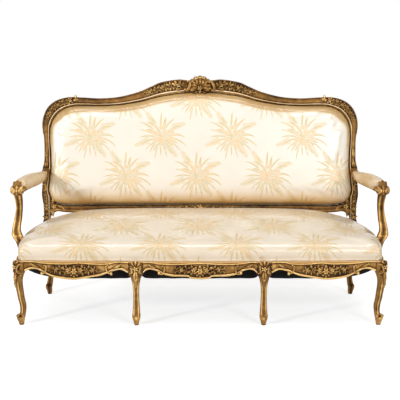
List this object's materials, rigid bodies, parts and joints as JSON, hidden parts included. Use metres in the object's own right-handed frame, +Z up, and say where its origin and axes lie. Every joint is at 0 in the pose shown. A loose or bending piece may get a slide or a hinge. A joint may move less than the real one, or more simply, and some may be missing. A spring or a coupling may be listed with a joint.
{
  "type": "cabriole settee",
  "caption": "Rococo style carved giltwood settee with a serpentine crest, upholstered back and seat, padded open arms and cabriole legs.",
  "frame": {"origin": "centre of the settee's footprint box, on the floor", "axes": "+X along the seat to the right of someone facing the settee, +Y towards its back, +Z up"},
  "size_m": [1.8066, 0.7942, 1.1233],
  "materials": {
    "gilded_wood": "antique gold leaf over dark bole, worn on the high spots",
    "beech": "bare wood",
    "steel": "bare steel",
    "damask": "cream silk damask with pale sprays of leaves and flowers",
    "black_cloth": "matt black lining cloth",
    "jute": "coarse woven jute"
  },
  "bodies": {
    "root": {"crest_rail": "gilded_wood", "crest_shell": "gilded_wood", "lower_back_rail": "gilded_wood", "back_post_right": "gilded_wood", "back_post_left": "gilded_wood", "corner_leg_right": "gilded_wood", "corner_leg_left": "gilded_wood", "middle_leg_right": "gilded_wood", "middle_leg_left": "gilded_wood", "front_rail_middle": "gilded_wood", "front_rail_right": "gilded_wood", "front_rail_left": "gilded_wood", "side_rail_right": "gilded_wood", "side_rail_left": "gilded_wood", "arm_right": "gilded_wood", "arm_left": "gilded_wood", "arm_support_right": "gilded_wood", "arm_support_left": "gilded_wood", "rear_rail": "beech", "seat_brace_right": "beech", "seat_brace_left": "beech", "front_corner_block_right": "beech", "front_corner_block_left": "beech", "rear_corner_block_right": "beech", "rear_corner_block_left": "beech", "crest_dowel_right": "beech", "crest_dowel_left": "beech", "arm_screw_right": "steel", "arm_screw_left": "steel", "support_screw_right": "steel", "support_screw_left": "steel", "spring_row_1": "steel", "spring_row_2": "steel", "spring_row_3": "steel", "seat_cushion": "damask", "back_pad": "damask", "back_panel": "damask", "arm_pad_right": "damask", "arm_pad_left": "damask", "seat_gimp_front": "damask", "seat_gimp_right": "damask", "seat_gimp_left": "damask", "dust_cover_middle": "black_cloth", "dust_cover_right": "black_cloth", "dust_cover_left": "black_cloth", "seat_burlap": "jute", "seat_webbing": "jute", "back_burlap": "jute", "back_webbing": "jute"}
  },
  "joints": []
}
